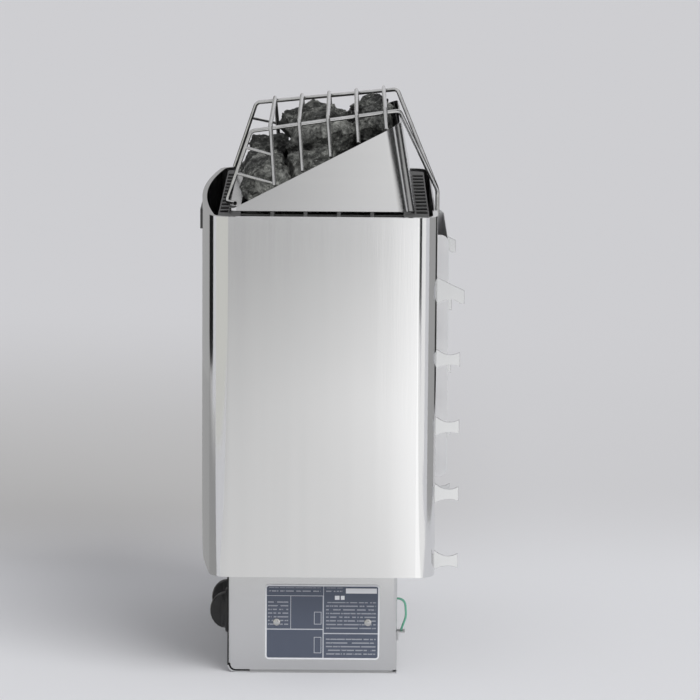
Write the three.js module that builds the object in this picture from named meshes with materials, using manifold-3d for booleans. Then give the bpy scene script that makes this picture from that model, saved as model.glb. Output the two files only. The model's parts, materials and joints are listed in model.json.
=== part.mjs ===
// A wall-hung electric sauna heater: a bowed steel casing round a stone container,
// with a leaning stone hood, a wire guard, tubular elements and a switch box below.
// Millimetres, +Z up, front towards -X, wall side towards +X.
import * as THREE from 'three';
import { mergeVertices } from 'three/addons/utils/BufferGeometryUtils.js';
import Module from 'manifold-3d';

const wasm = await Module();
wasm.setup();

// Clearance between neighbouring pieces
const fitGap = 0.3;
const cutPast = 1;

// Outer casing
const casingWidth = 425;
const casingDepth = 255;
const casingHeight = 388;
const casingSheet = 1;
const frontBow = 16;
const frontCorner = 22;
const rearCorner = 21;
const hemWidth = 11;
const rimLip = 5;
const flangeWidth = 40;

// Wall hooks and rear parts
const hookReach = 29;
const hookRoot = 29;
const hookLip = 14;
const tabReach = 25;
const tabRoot = 21;
const tabPitch = 73;
const tabCount = 5;
const firstTabHeight = 15;
const railSheet = 1.5;
const railWeb = 15;
const railStrip = 6;
const railInset = 3;
const slotPlay = 1;
const panelSheet = 1.5;
const panelLap = 18;
const channelReach = 14;
const channelWidth = 210;
const channelHeight = 266;
const channelDrop = 33;
const channelSheet = 1.5;
const channelCorner = 9;

// Inner jacket and air ring
const airGap = 17;
const frontAirGap = 22;
const jacketSheet = 0.8;
const jacketRearGap = 1.5;
const jacketFrontCorner = 5;
const jacketRearCorner = 10;
const ringSheet = 1.2;
const ringDrop = 2;
const ringBorder = 1.5;
const slotPitch = 35.4;
const slotBar = 4;
const endSlotPitch = 28;
const endSlotBar = 10;

// Stone container, hood and grate
const frontDuct = 13.5;
const sideDuct = 21.5;
const rearDuct = 16.7;
const containerSheet = 1.2;
const containerFrontCorner = 6;
const containerRearCorner = 18;
const containerDrop = 3;
const archHeight = 55;
const archMargin = 30;
const hoodSheet = 1.2;
const hoodLap = 12;
const hoodStand = 1.5;
const hoodRise = 87.5;
const hoodSideLean = 50;
const hoodRearLean = 15;
const hoodLip = 2.5;
const hoodFold = 10;
const skirtEdge = 0.6;
const slopeSetback = 3;
const slopeHeadSetback = 15.5;
const grateHeight = 70;
const grateSheet = 1.5;
const grateBar = 8;
const gratePlay = 1;

// Wire guard
const wireRadius = 2.3;
const infillRadius = 1.6;
const weldSink = 0.6;
const hoopSeat = 0.8;
const railFrontHalf = 139;
const railRearHalf = 108;
const railFrontSetback = 20;
const railFrontDrop = 6.6;
const railRearLift = 12.8;
const railRearSetback = 0.2;
const legForward = 5.5;
const footLap = 4;
const footTurn = 15;
const rearLegBack = 3.3;
const rearLegKnee = 2.2;
const rearTail = 24;
const wireBend = 4;
const hoopStart = 21;
const hoopPitch = 30.6;
const hoopCount = 5;
const hoopLean = 0.08;
const bendShare = 0.45;
// Where the infill wires meet the front leg and the first hoop, as shares of their height
const infillMeets = [{ leg: 0.4, hoop: 0.03 }, { leg: 0.77, hoop: 0.5 }];

// Chassis, elements and sensor
const chassisSheet = 1.5;
const elementRadius = 4;
const elementPitch = 52;
const elementLegPitch = 68;
const elementBend = 27;
const elementTopCover = 12;
const elementTail = 20;
const bushRadius = 8;
const bushHeight = 8;
const elementPlateSheet = 2;
const elementPlateMargin = 20;
const plateLap = 6;
const ventLength = 34;
const ventWidth = 18;
const ventPitch = 30;
const capillaryRadius = 1.2;
const capillaryBend = 6;
const bulbRadius = 3;
const bulbLength = 70;
const sensorHeight = 32;

// Switch box
const boxWidth = 300;
const boxDepth = 184;
const boxHeight = 120;
const boxSetback = 32;
const boxSheet = 1.2;
const boxCorner = 4;
const boxFlange = 12;
const panelPlate = 1.5;
const panelCorner = 9;
const panelSeam = 1.8;
const panelLipLength = 15;
const panelFlangeInset = 4;
const coverFlange = 10;

// Controls
const knobRadius = 20;
const skirtRadius = 24.5;
const skirtHeight = 3;
const knobHeight = 20;
const gripWidth = 13;
const gripRise = 7;
const knobPitch = 62;
const knobInset = 45;
const knobLevel = 59;
const shaftRadius = 3;
const shaftPlay = 0.3;
const panelHoleRadius = 5;
const controlSize = 46;
const controlDepth = 38;
const shaftSeat = 14;
const knobBore = 14;
const buttonRadius = 4;
const buttonTravel = 2.5;
const buttonPlay = 0.5;
const buttonLength = 10;
const buttonRecess = 0.5;
const limiterSize = 30;
const limiterHeight = 40;

// Wiring
const terminalWidth = 90;
const terminalDepth = 28;
const terminalHeight = 32;
const terminalWays = 6;
const leadRadius = 1.5;
const leadPitch = 25;
const leadBend = 12;
const glandRadius = 10;
const glandNut = 12.5;
const glandBore = 6;
const glandLength = 14;
const glandInset = 50;
const glandLevel = 64;
const earthRadius = 1.2;
const earthInset = 10;
const earthTopLevel = 81;
const earthTail = 12;
const earthBulge = 10;
const earthSag = 20;
const earthBend = 19;
const lugLevel = 44;
const lugLength = 8.5;
const lugWidth = 12;
const lugSheet = 1.5;

// Rating plate
const plateWidth = 124;
const plateHeight = 83;
const plateSheet = 0.8;
const plateCorner = 4;
const plateLevel = 15;
const plateSetback = 41;
const screwRadius = 4.3;
const screwHead = 1.8;
const screwSpacing = 99;

// Stones
const stoneGap = 0.3;
const stoneMargin = 10;
const stoneFrontMargin = 11;
const stoneScatter = 4.5;
const stoneRoughness = 0.08;
const stoneWidth = 0.7;
const rowColumns = 3;
const rowLayers = 3;
const rowOverlap = 1.15;
const rowPlay = 1;
const bedDrop = 4;

// Places that follow from the sizes above
const frontX = -(casingDepth + hookReach) / 2;
const rearX = frontX + casingDepth;
const halfWidth = casingWidth / 2;
const rimZ = boxHeight + casingHeight;
const chassisZ = boxHeight + casingSheet + fitGap;
const chassisTop = chassisZ + chassisSheet;
const floorZ = chassisTop + fitGap;
const panelOuterX = rearX - casingSheet - fitGap;
const panelInnerX = panelOuterX - panelSheet;
const railY = halfWidth - rearCorner - railInset;
const ringTop = rimZ - ringDrop;
const ringZ = ringTop - ringSheet;
const jacketFront = frontX + frontAirGap;
const jacketHalf = halfWidth - airGap;
const containerFront = jacketFront + frontDuct;
const jacketRear = panelOuterX - railStrip - jacketRearGap;
const containerRear = jacketRear - rearDuct;
const containerDepth = containerRear - containerFront;
const containerHalf = jacketHalf - sideDuct;
const containerTop = rimZ - containerDrop;
const hoodSkin = fitGap + hoodSheet;
const hoodBase = rimZ + hoodStand;
const hoodTop = hoodBase + hoodRise;
const lipTop = hoodBase + hoodLip;
const slopeFoot = containerFront + slopeSetback;
const slopeHead = containerRear - slopeHeadSetback;
const slope = (hoodTop - lipTop) / (slopeHead - slopeFoot);
const grateTop = chassisTop + grateHeight;
const boxFront = frontX + boxSetback;
const boxRear = boxFront + boxDepth;
const boxHalf = boxWidth / 2;
const boxTop = chassisZ - fitGap;
const sideFront = boxFront + panelPlate + panelSeam;
const bedTop = rimZ - bedDrop;
const elementMiddle = containerFront + containerDepth / 2;
const elementXs = [-1, 0, 1].map((step) => elementMiddle + step * elementPitch);
const elementOuterY = 1.5 * elementLegPitch;
const terminalZ = chassisZ - elementTail;
const knobYs = [-boxHalf + knobInset, -boxHalf + knobInset + knobPitch];
const panelBack = boxFront + panelPlate;

// Finishes
const finish = (color, roughness, metalness) =>
  new THREE.MeshStandardMaterial({ color, roughness, metalness });
const polishedSteel = finish(0xc4c6c8, 0.22, 1);
const sheetSteel = finish(0xa9abad, 0.4, 1);
const wireSteel = finish(0xb4b6b6, 0.3, 1);
const elementSteel = finish(0x6c6a66, 0.55, 0.9);
const blackPlastic = finish(0x141414, 0.45, 0);
const palePlastic = finish(0xd8d4c8, 0.6, 0);
const slatePlate = finish(0x505868, 0.5, 0.2);
const greenSheath = finish(0x6fa78f, 0.5, 0);
const greySheath = finish(0x55585a, 0.7, 0);
const copper = finish(0xa8704a, 0.4, 1);
const rock = finish(0x3b3d3a, 0.95, 0);

const heater = new THREE.Group();

function addPart(name, geometry, material) {
  const mesh = new THREE.Mesh(geometry, material);
  mesh.name = name;
  heater.add(mesh);
}

// Solids: closed geometry to a body that can be cut or joined, and back
function solid(geometry) {
  const bare = geometry.clone();
  bare.deleteAttribute('normal');
  bare.deleteAttribute('uv');
  const merged = mergeVertices(bare, 1e-4);
  return new wasm.Manifold(new wasm.Mesh({
    numProp: 3,
    vertProperties: new Float32Array(merged.attributes.position.array),
    triVerts: new Uint32Array(merged.index.array),
  }));
}

function geometryOf(body) {
  const mesh = body.getMesh();
  const positions = [];
  for (let i = 0; i < mesh.vertProperties.length; i += mesh.numProp) {
    positions.push(...mesh.vertProperties.subarray(i, i + 3));
  }
  const geometry = new THREE.BufferGeometry();
  geometry.setAttribute('position', new THREE.Float32BufferAttribute(positions, 3));
  geometry.setIndex(Array.from(mesh.triVerts));
  geometry.computeVertexNormals();
  return geometry;
}

const joined = (bodies) => bodies.reduce((whole, body) => whole.add(body));
const cut = (body, tools) => tools.reduce((whole, tool) => whole.subtract(tool), body);

// Outlines
const point = (x, y) => new THREE.Vector2(x, y);

function arc(x, y, radius, from, to, steps) {
  return Array.from({ length: steps + 1 }, (_, i) => {
    const angle = from + ((to - from) * i) / steps;
    return point(x + radius * Math.cos(angle), y + radius * Math.sin(angle));
  });
}

const quarter = Math.PI / 2;
const cornerSteps = 6;
const bowSteps = 12;

// Plan of a wrapped sheet with a bowed front, from the rear corner on -Y round to that on +Y
function bowedPlan(plan, inset) {
  const { half, front, rear, frontRadius, rearRadius } = plan;
  const bowRadius = (half * half + frontBow * frontBow) / (2 * frontBow);
  const bowX = front + bowRadius;
  const cornerY = half - frontRadius;
  const cornerX = bowX - Math.sqrt((bowRadius - frontRadius) ** 2 - cornerY ** 2);
  const turn = Math.atan2(cornerY, bowX - cornerX);
  const rearY = half - rearRadius;
  const rearTurn = rear - rearRadius;
  return [
    ...arc(rearTurn, -rearY, rearRadius - inset, 0, -quarter, cornerSteps),
    ...arc(cornerX, -cornerY, frontRadius - inset, -quarter, turn - Math.PI, cornerSteps),
    ...arc(bowX, 0, bowRadius - inset, turn - Math.PI, -turn - Math.PI, bowSteps).slice(1, -1),
    ...arc(cornerX, cornerY, frontRadius - inset, Math.PI - turn, quarter, cornerSteps),
    ...arc(rearTurn, rearY, rearRadius - inset, quarter, 0, cornerSteps),
  ];
}

// Plan of a straight-sided box with rounded corners, grown outwards by a margin
function boxPlan(front, rear, half, frontRadius, rearRadius, margin) {
  const frontR = frontRadius + margin;
  const rearR = rearRadius + margin;
  return [
    ...arc(rear - rearRadius, -half + rearRadius, rearR, 0, -quarter, 5),
    ...arc(front + frontRadius, -half + frontRadius, frontR, -quarter, -2 * quarter, 3),
    ...arc(front + frontRadius, half - frontRadius, frontR, 2 * quarter, quarter, 3),
    ...arc(rear - rearRadius, half - rearRadius, rearR, quarter, 0, 5),
  ];
}

const rectangle = (x0, x1, y0, y1) => [point(x0, y0), point(x1, y0), point(x1, y1), point(x0, y1)];

function roundedRectangle(x0, x1, y0, y1, radius) {
  return [
    ...arc(x1 - radius, y0 + radius, radius, -quarter, 0, 4),
    ...arc(x1 - radius, y1 - radius, radius, 0, quarter, 4),
    ...arc(x0 + radius, y1 - radius, radius, quarter, 2 * quarter, 4),
    ...arc(x0 + radius, y0 + radius, radius, 2 * quarter, 3 * quarter, 4),
  ];
}

// Extrusions: a plan upwards, a side view along Y, a front view along X
function extrude(outline, depth, holes = []) {
  const clockwise = THREE.ShapeUtils.isClockWise(outline);
  const shape = new THREE.Shape(clockwise ? outline.toReversed() : outline);
  shape.holes = holes.map((hole) => new THREE.Path(hole));
  return new THREE.ExtrudeGeometry(shape, { depth, bevelEnabled: false });
}

const extrudeUp = (outline, z0, z1, holes) => extrude(outline, z1 - z0, holes).translate(0, 0, z0);

function extrudeAcross(sideView, y0, y1, holes) {
  return extrude(sideView, y1 - y0, holes).rotateX(quarter).translate(0, y1, 0);
}

function extrudeBack(frontView, x0, x1, holes) {
  const turn = new THREE.Matrix4().makeBasis(
    new THREE.Vector3(0, 1, 0), new THREE.Vector3(0, 0, 1), new THREE.Vector3(1, 0, 0));
  return extrude(frontView, x1 - x0, holes).applyMatrix4(turn).translate(x0, 0, 0);
}

const block = (x0, x1, y0, y1, z0, z1) => extrudeUp(rectangle(x0, x1, y0, y1), z0, z1);
const pillar = (x, y, radius, z0, z1, sides = 12) =>
  extrudeUp(arc(x, y, radius, 0, 4 * quarter, sides).slice(1), z0, z1);
const axle = (y, z, radius, x0, x1, sides = 16) =>
  extrudeBack(arc(y, z, radius, 0, 4 * quarter, sides).slice(1), x0, x1);

// A rod bent from straight runs with round corners, sampled only where it turns
class BentRod extends THREE.Curve {
  constructor(corners, bendRadius, bendSteps) {
    super();
    this.stations = [corners[0]];
    for (let i = 1; i < corners.length - 1; i += 1) {
      this.addBend(corners[i - 1], corners[i], corners[i + 1], bendRadius, bendSteps);
    }
    this.stations.push(corners.at(-1));
  }

  addBend(before, corner, after, bendRadius, bendSteps) {
    const back = before.clone().sub(corner);
    const ahead = after.clone().sub(corner);
    const half = back.angleTo(ahead) / 2;
    const reach = Math.min(bendRadius / Math.tan(half), back.length() * bendShare,
      ahead.length() * bendShare);
    const start = corner.clone().addScaledVector(back.normalize(), reach);
    const end = corner.clone().addScaledVector(ahead.normalize(), reach);
    const bend = new THREE.QuadraticBezierCurve3(start, corner, end);
    this.stations.push(...bend.getPoints(bendSteps));
  }

  getPoint(t) {
    const place = t * (this.stations.length - 1);
    const index = Math.min(Math.floor(place), this.stations.length - 2);
    return this.stations[index].clone().lerp(this.stations[index + 1], place - index);
  }

  getPointAt(t) {
    return this.getPoint(t);
  }

  getTangentAt(t) {
    const step = 0.5 / (this.stations.length - 1);
    const before = this.getPoint(Math.max(t - step, 0));
    return this.getPoint(Math.min(t + step, 1)).sub(before).normalize();
  }
}

function rod(corners, radius, bendRadius, sides = 8, bendSteps = 3) {
  const path = new BentRod(corners, bendRadius, bendSteps);
  const section = new THREE.Shape(arc(0, 0, radius, 0, 4 * quarter, sides).slice(1));
  return new THREE.ExtrudeGeometry(section, {
    steps: path.stations.length - 1,
    extrudePath: path,
    bevelEnabled: false,
  });
}

const place = (x, y, z) => new THREE.Vector3(x, y, z);

// A plate with openings cut through it
function pierced(outline, z0, z1, holes) {
  const tools = holes.map((hole) => solid(extrudeUp(hole, z0 - cutPast, z1 + cutPast)));
  return cut(solid(extrudeUp(outline, z0, z1)), tools);
}

// A solid through a stack of outlines that have the same number of points
function loft(levels) {
  const count = levels[0].outline.length;
  const positions = levels.flatMap(({ outline, z }) => outline.flatMap((p) => [p.x, p.y, z]));
  const faces = [];
  levels.slice(1).forEach((_, level) => {
    for (let i = 0; i < count; i += 1) {
      const a = level * count + i;
      const b = level * count + ((i + 1) % count);
      faces.push(a, a + count, b, b, a + count, b + count);
    }
  });
  const cap = THREE.ShapeUtils.triangulateShape(levels[0].outline, []);
  const top = (levels.length - 1) * count;
  cap.forEach(([a, b, c]) => faces.push(c, b, a, top + a, top + b, top + c));
  const geometry = new THREE.BufferGeometry();
  geometry.setAttribute('position', new THREE.Float32BufferAttribute(positions, 3));
  geometry.setIndex(faces);
  return geometry;
}

// Outer casing: a wrapped sheet, open at the back between two flanges, turned in at foot and rim
const casingPlan = {
  half: halfWidth,
  front: frontX,
  rear: rearX,
  frontRadius: frontCorner,
  rearRadius: rearCorner,
};
const flangeEnd = halfWidth - rearCorner - flangeWidth;

function casingBand(outer, inner) {
  const wrap = (inset) => [
    point(rearX - inset, -flangeEnd),
    ...bowedPlan(casingPlan, inset),
    point(rearX - inset, flangeEnd),
  ];
  return [...wrap(outer), ...wrap(inner).reverse()];
}

const tabZ = (index) => boxHeight + firstTabHeight + index * tabPitch;
const rootHeight = (index) => (index === tabCount - 1 ? hookRoot : tabRoot);
const tabIndexes = Array.from({ length: tabCount }, (_, index) => index);

function outerCasing() {
  const wall = solid(extrudeUp(casingBand(0, casingSheet), boxHeight, rimZ));
  const hem = solid(extrudeUp(casingBand(0, hemWidth), boxHeight, boxHeight + casingSheet));
  const lip = solid(extrudeUp(casingBand(0, rimLip), rimZ - casingSheet, rimZ));
  const slots = [-1, 1].flatMap((side) => tabIndexes.map((index) => {
    const half = rootHeight(index) / 2 + slotPlay;
    const width = railSheet / 2 + slotPlay;
    const y = side * railY;
    const z = tabZ(index);
    return solid(block(rearX - 2 * casingSheet, rearX + casingSheet, y - width, y + width,
      z - half, z + half));
  }));
  return geometryOf(cut(joined([wall, hem, lip]), slots));
}

addPart('outer_casing', outerCasing(), polishedSteel);

// Hanger rails: an angle behind each rear flange, its tabs reaching out through the slots
function tabOutline(index) {
  const z = tabZ(index);
  const half = rootHeight(index) / 2;
  const rootX = panelOuterX - railStrip / 2;
  if (index === tabCount - 1) {
    const tip = rearX + hookReach;
    const lipTopZ = z + half - hookLip;
    const under = new THREE.QuadraticBezierCurve(
      point(tip - hookLip / 3, lipTopZ - hookLip), point(tip - hookLip, z - half / 4),
      point(rearX, z - half));
    return [point(rootX, z + half), point(rootX, z - half), ...under.getPoints(5).reverse(),
      point(tip, lipTopZ - hookLip), point(tip, lipTopZ), point(rearX, z + half)];
  }
  const tip = rearX + tabReach;
  const scoop = new THREE.QuadraticBezierCurve(
    point(tip, z + half * 0.7), point(rearX + tabReach / 2, z), point(rearX, z + half));
  const under = new THREE.QuadraticBezierCurve(
    point(rearX, z - half), point(rearX + tabReach / 2, z - half / 3), point(tip, z - half * 0.8));
  return [point(rootX, z + half), point(rootX, z - half), ...under.getPoints(5),
    ...scoop.getPoints(5)];
}

function hangerRail(side) {
  const foot = tabZ(0) - tabRoot / 2;
  const head = tabZ(tabCount - 1) + hookRoot / 2 + hookLip;
  const y0 = side * railY - railSheet / 2;
  const y1 = side * railY + railSheet / 2;
  const strip = solid(block(panelOuterX - railStrip, panelOuterX, y0, y1, foot, head));
  const inner = side * (railY - railWeb);
  const web = solid(block(panelOuterX - railSheet, panelOuterX, Math.min(inner, y0),
    Math.max(inner, y1), foot, head));
  const tabs = tabIndexes.map((index) => solid(extrudeAcross(tabOutline(index), y0, y1)));
  return geometryOf(joined([strip, web, ...tabs]));
}

addPart('hanger_rail_right', hangerRail(-1), sheetSteel);
addPart('hanger_rail_left', hangerRail(1), sheetSteel);

// Rear panel behind the casing flanges, and the channel that stands it off the wall
const panelHalf = flangeEnd + panelLap;
addPart('rear_panel', extrudeBack(
  roundedRectangle(-panelHalf, panelHalf, floorZ, ringZ - fitGap, panelCorner),
  panelInnerX, panelOuterX), sheetSteel);

function backChannel() {
  const half = channelWidth / 2;
  const foot = panelOuterX + fitGap;
  const back = rearX + channelReach;
  const top = rimZ - channelDrop;
  const bottom = top - channelHeight;
  const section = [point(foot, -half), point(back, -half), point(back, half), point(foot, half),
    point(foot, half - channelSheet), point(back - channelSheet, half - channelSheet),
    point(back - channelSheet, -half + channelSheet), point(foot, -half + channelSheet)];
  const sideView = [point(foot, bottom),
    ...arc(back - channelCorner, bottom + channelCorner, channelCorner, -quarter, 0, 5),
    ...arc(back - channelCorner, top - channelCorner, channelCorner, 0, quarter, 5),
    point(foot, top)];
  const channel = solid(extrudeUp(section, bottom, top));
  return geometryOf(channel.intersect(solid(extrudeAcross(sideView, -half - cutPast, half + cutPast))));
}

addPart('back_channel', backChannel(), sheetSteel);

// Inner jacket: the heat shield that keeps an air duct inside the casing
const jacketPlan = (margin) => boxPlan(jacketFront, jacketRear, jacketHalf,
  jacketFrontCorner, jacketRearCorner, margin);
addPart('inner_jacket', extrudeUp(jacketPlan(0), floorZ, ringZ - fitGap,
  [jacketPlan(-jacketSheet)]), sheetSteel);

// Air ring: a slotted strip round the hood that lets the warm air out
const hoodPlan = (margin) => boxPlan(containerFront, containerRear, containerHalf,
  containerFrontCorner, containerRearCorner, margin);

function slotRow(from, to, pitch, makeSlot) {
  const count = Math.floor((to - from) / pitch);
  const start = (from + to) / 2 - ((count - 1) * pitch) / 2;
  return Array.from({ length: count }, (_, i) => makeSlot(start + i * pitch));
}

const sideSlotHalf = (slotPitch - slotBar) / 2;
const sideSlots = (makeSlot) => slotRow(containerFront, containerRear, slotPitch, makeSlot);

function airRing() {
  const endHalf = (endSlotPitch - endSlotBar) / 2;
  const innerFront = containerFront - hoodSkin - fitGap - ringBorder;
  const innerRear = containerRear + hoodSkin + fitGap + ringBorder;
  const innerSide = containerHalf + hoodSkin + fitGap + ringBorder;
  const endSlots = (x0, x1) => slotRow(-containerHalf, containerHalf, endSlotPitch, (y) =>
    rectangle(x0, x1, y - endHalf, y + endHalf));
  const front = endSlots(jacketFront + ringBorder, innerFront);
  const rear = endSlots(innerRear, jacketRear - ringBorder);
  const sides = [-1, 1].flatMap((side) => sideSlots((x) => {
    const ys = [side * innerSide, side * (jacketHalf - ringBorder)];
    return rectangle(x - sideSlotHalf, x + sideSlotHalf, Math.min(...ys), Math.max(...ys));
  }));
  return geometryOf(pierced(jacketPlan(0), ringZ, ringTop,
    [hoodPlan(hoodSkin + fitGap), ...front, ...rear, ...sides]));
}

addPart('air_ring', airRing(), polishedSteel);

// Stone container: a sheet box on four corner legs, with air arches between them
function stoneContainer() {
  const shell = solid(extrudeUp(hoodPlan(0), floorZ, containerTop, [hoodPlan(-containerSheet)]));
  const arch = (low, high) => [point(low, floorZ - cutPast), point(high, floorZ - cutPast),
    ...arc(high - archMargin, floorZ + archHeight - archMargin, archMargin, 0, quarter, 4),
    ...arc(low + archMargin, floorZ + archHeight - archMargin, archMargin, quarter, 2 * quarter, 4)];
  const across = solid(extrudeAcross(arch(containerFront + archMargin, containerRear - archMargin),
    -halfWidth, halfWidth));
  const along = solid(extrudeBack(arch(-containerHalf + archMargin, containerHalf - archMargin),
    frontX, rearX));
  return geometryOf(cut(shell, [across, along]));
}

addPart('stone_container', stoneContainer(), sheetSteel);

// Stone hood: a slotted skirt, walls that lean inwards above it, cut to a slope towards the front,
// and a front edge folded flat
const hoodHalfAt = (z) =>
  containerHalf + hoodSkin - (Math.max(z - hoodBase, 0) * hoodSideLean) / hoodRise;
const edgeZ = (x) => lipTop + (x - slopeFoot) * slope;

function hoodShape(margin, z0, z1) {
  const level = (z) => {
    const lean = Math.max(z - hoodBase, 0) / hoodRise;
    return {
      z,
      outline: boxPlan(containerFront, containerRear - lean * hoodRearLean,
        containerHalf - lean * hoodSideLean, containerFrontCorner, containerRearCorner, margin),
    };
  };
  return solid(loft([level(z0), level(hoodBase), level(z1)]));
}

function stoneHood() {
  const foot = containerTop - hoodLap;
  const shell = hoodShape(hoodSkin, foot, hoodTop).subtract(
    hoodShape(fitGap, foot - hoodLap, hoodTop + hoodLap));
  const above = [point(frontX, lipTop), point(slopeFoot, lipTop), point(slopeHead, hoodTop),
    point(slopeHead, hoodTop + hoodLap), point(frontX, hoodTop + hoodLap)];
  const fold = hoodShape(hoodSkin, foot, lipTop).intersect(solid(block(frontX, containerFront + hoodFold,
    -halfWidth, halfWidth, lipTop - hoodSheet, lipTop)));
  const slots = sideSlots((x) => solid(block(x - sideSlotHalf, x + sideSlotHalf, -halfWidth, halfWidth,
    ringTop, hoodBase - skirtEdge)));
  const sloped = shell.subtract(solid(extrudeAcross(above, -halfWidth, halfWidth)));
  return geometryOf(cut(sloped.add(fold), slots));
}

addPart('stone_hood', stoneHood(), polishedSteel);

// Stone guard: side rails that draw together towards the wall, front legs with feet on the hood's fold,
// rear legs that meet in a tail behind the casing, hoops and infill wires
const railFront = containerFront + railFrontSetback;
const railRear = containerRear - hoodRearLean - railRearSetback;
const railFrontZ = hoodTop - railFrontDrop;
const railRearZ = hoodTop + railRearLift;
const railShare = (x) => (x - railFront) / (railRear - railFront);
const railZ = (x) => railFrontZ + railShare(x) * (railRearZ - railFrontZ);
const railHalf = (x) => railFrontHalf + railShare(x) * (railRearHalf - railFrontHalf);
const legFootZ = lipTop + wireRadius + fitGap;
const tailHalf = wireRadius - weldSink / 2;

function frameCorners(side) {
  return [
    place(containerFront + footLap, side * (railFrontHalf + footTurn), legFootZ),
    place(containerFront - legForward, side * railFrontHalf, legFootZ),
    place(railFront, side * railFrontHalf, railFrontZ),
    place(railRear, side * railRearHalf, railRearZ),
    place(rearX + rearLegBack, side * tailHalf, rimZ + rearLegKnee),
    place(rearX + rearLegBack, side * tailHalf, rimZ - rearTail),
  ];
}

function hoopCorners(index) {
  const x = railFront + hoopStart + index * hoopPitch;
  const top = railZ(x) + 2 * wireRadius - weldSink;
  const lift = hoopSeat * wireRadius + fitGap;
  const footZ = (edgeZ(x) + lift + slope * hoopLean * top) / (1 + slope * hoopLean);
  const footX = x + hoopLean * (top - footZ);
  const footY = hoodHalfAt(footZ - lift) - hoodSheet / 2;
  const half = railHalf(x);
  return [place(footX, -footY, footZ), place(x, -half, top), place(x, half, top),
    place(footX, footY, footZ)];
}

function stoneGuard() {
  const frames = [-1, 1].map((side) => solid(rod(frameCorners(side), wireRadius, wireBend)));
  const hoops = Array.from({ length: hoopCount }, (_, index) =>
    solid(rod(hoopCorners(index), wireRadius, wireBend)));
  const firstHoop = hoopCorners(0);
  const infill = [-1, 1].flatMap((side) => {
    const [, foot, corner] = frameCorners(side);
    const [hoopFoot, shoulder] = side < 0 ? firstHoop : firstHoop.toReversed();
    return infillMeets.map(({ leg, hoop }) => solid(rod(
      [foot.clone().lerp(corner, leg), hoopFoot.clone().lerp(shoulder, hoop)],
      infillRadius, wireBend)));
  });
  return geometryOf(joined([...frames, ...hoops, ...infill]));
}

addPart('stone_guard', stoneGuard(), wireSteel);

// Stone grate: a slotted plate on two folded legs, open where the elements pass
function stoneGrate() {
  const front = containerFront + containerSheet + gratePlay;
  const rear = containerRear - containerSheet - gratePlay;
  const half = containerHalf - containerRearCorner;
  const slotHalf = elementOuterY + 3 * elementRadius;
  const slots = elementXs.flatMap((x) => [-1, 0, 1].map((step) => {
    const width = elementRadius + 2 * gratePlay;
    const middle = x + (step * elementPitch) / 3;
    return rectangle(middle - width, middle + width, -slotHalf, slotHalf);
  })).filter((slot) => slot[0].x > front + grateBar && slot[1].x < rear - grateBar);
  const plate = pierced(rectangle(front, rear, -half, half), grateTop - grateSheet, grateTop, slots);
  const legs = [-half, half - grateSheet].map((y) =>
    solid(block(front + archMargin, rear - archMargin, y, y + grateSheet, floorZ, grateTop)));
  return geometryOf(joined([plate, ...legs]));
}

addPart('stone_grate', stoneGrate(), sheetSteel);

// Chassis plate on the casing hem, with air vents beside and behind the switch box
const thermostatX = panelBack + fitGap + controlDepth / 2;
const elementHoles = (radius) => elementXs.flatMap((x) =>
  [-1, 1].map((side) => arc(x, side * elementOuterY, radius, 0, 4 * quarter, 10).slice(1)));

function chassisPlate() {
  const plan = { ...casingPlan, rear: panelInnerX - fitGap };
  const outline = bowedPlan(plan, casingSheet + fitGap);
  const opening = rectangle(elementXs[0] - elementPlateMargin + plateLap,
    elementXs[2] + elementPlateMargin - plateLap,
    -elementOuterY - elementPlateMargin + plateLap, elementOuterY + elementPlateMargin - plateLap);
  const ventStart = (boxHalf + jacketHalf - ventLength) / 2;
  const vents = [-1, 1].flatMap((side) => [-2, -1, 0, 1, 2].map((step) => {
    const x = elementMiddle + step * ventPitch;
    const ys = [side * ventStart, side * (ventStart + ventLength)];
    return rectangle(x - ventWidth / 2, x + ventWidth / 2, Math.min(...ys), Math.max(...ys));
  }));
  const sensorHole = arc(thermostatX, knobYs[1], 2 * capillaryRadius, 0, 4 * quarter, 8).slice(1);
  return geometryOf(pierced(outline, chassisZ, chassisTop, [opening, sensorHole, ...vents]));
}

addPart('chassis_plate', chassisPlate(), sheetSteel);

addPart('element_plate', geometryOf(pierced(rectangle(elementXs[0] - elementPlateMargin,
  elementXs[2] + elementPlateMargin, -elementOuterY - elementPlateMargin,
  elementOuterY + elementPlateMargin), floorZ, floorZ + elementPlateSheet,
elementHoles(elementRadius + fitGap))), sheetSteel);

// Heating elements: tubes bent into an M, screwed into the plate by two bushes
function heatingElement(x) {
  const top = bedTop - elementTopCover - elementRadius;
  const low = grateTop + 2 * elementRadius;
  const inner = elementLegPitch / 2;
  const outer = elementOuterY;
  const tube = solid(rod([place(x, -outer, terminalZ), place(x, -outer, top),
    place(x, -inner, top), place(x, -inner, low), place(x, inner, low), place(x, inner, top),
    place(x, outer, top), place(x, outer, terminalZ)], elementRadius, elementBend, 6));
  const bushZ = floorZ + elementPlateSheet + fitGap;
  const bushes = [-1, 1].map((side) =>
    solid(pillar(x, side * outer, bushRadius, bushZ, bushZ + bushHeight, 6)));
  return geometryOf(joined([tube, ...bushes]));
}

['front', 'middle', 'rear'].forEach((name, index) =>
  addPart(`heating_element_${name}`, heatingElement(elementXs[index]), elementSteel));

// Switch box: two sides and a back in one folded sheet, with flanges under the chassis
const earthY = -boxHalf + earthInset;

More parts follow.
